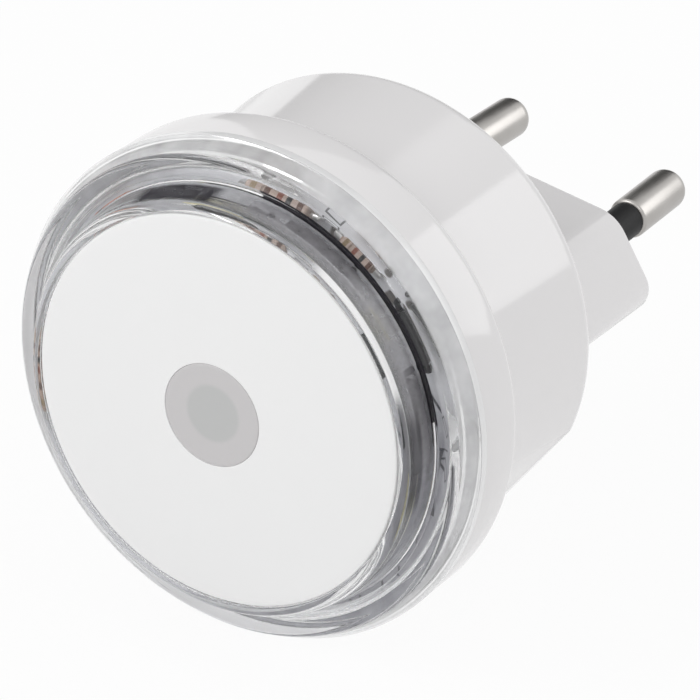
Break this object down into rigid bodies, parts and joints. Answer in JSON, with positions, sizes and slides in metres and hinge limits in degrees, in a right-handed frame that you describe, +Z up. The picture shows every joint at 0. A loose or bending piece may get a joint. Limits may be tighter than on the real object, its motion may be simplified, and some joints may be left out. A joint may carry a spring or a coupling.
{
  "type": "plug in night light",
  "caption": "Round dusk-sensing night light that plugs straight into a two-pin wall socket, with a white face disc, a clear light ring and a rear plug boss.",
  "frame": {"origin": "middle of the plug face, halfway between the two pins", "axes": "+Y out of the plug face into the wall socket, +X along the line of the pins, +Z up; the lit face looks along -Y"},
  "size_m": [0.049, 0.0673, 0.049],
  "materials": {
    "housing_white": "smooth gloss moulding",
    "clear_plastic": "clear polished moulding",
    "face_white": "fine satin moulding",
    "frosted_window": "frosted",
    "shroud_white": "matt",
    "sensor_ceramic": "clear-coated ceramic with a winding track",
    "board_white": "white solder mask",
    "led_white": "phosphor in a white cup",
    "resistor_tan": "lacquer with colour bands",
    "epoxy_black": "moulded epoxy",
    "diode_glass": "orange glass body",
    "film_yellow": "moulded case",
    "can_sleeve": "shrink sleeve",
    "resistor_blue": "lacquer",
    "pin_nickel": "bright nickel plate on a rolled tube",
    "sleeve_black": "moulded sleeve",
    "clamp_plastic": "moulded plate",
    "screw_steel": "zinc plate",
    "wire_blue": "wire insulation",
    "wire_brown": "wire insulation"
  },
  "bodies": {
    "root": {"rear_housing": "housing_white", "lens_cover": "clear_plastic", "face_disc": "face_white", "sensor_window": "frosted_window", "sensor_shroud": "shroud_white", "light_sensor": "sensor_ceramic", "circuit_board": "board_white", "leds": "led_white", "series_resistor": "resistor_tan", "bleed_resistor": "resistor_tan", "bias_resistor": "resistor_tan", "rectifier_diodes": "epoxy_black", "zener_diode": "diode_glass", "switching_transistor": "epoxy_black", "film_capacitor": "film_yellow", "storage_capacitor": "can_sleeve", "fusible_resistor": "resistor_blue", "pin_left": "pin_nickel", "pin_right": "pin_nickel", "sleeve_left": "sleeve_black", "sleeve_right": "sleeve_black", "pin_clamp": "clamp_plastic", "clamp_screw": "screw_steel", "wire_left": "wire_blue", "wire_right": "wire_brown"}
  },
  "joints": []
}
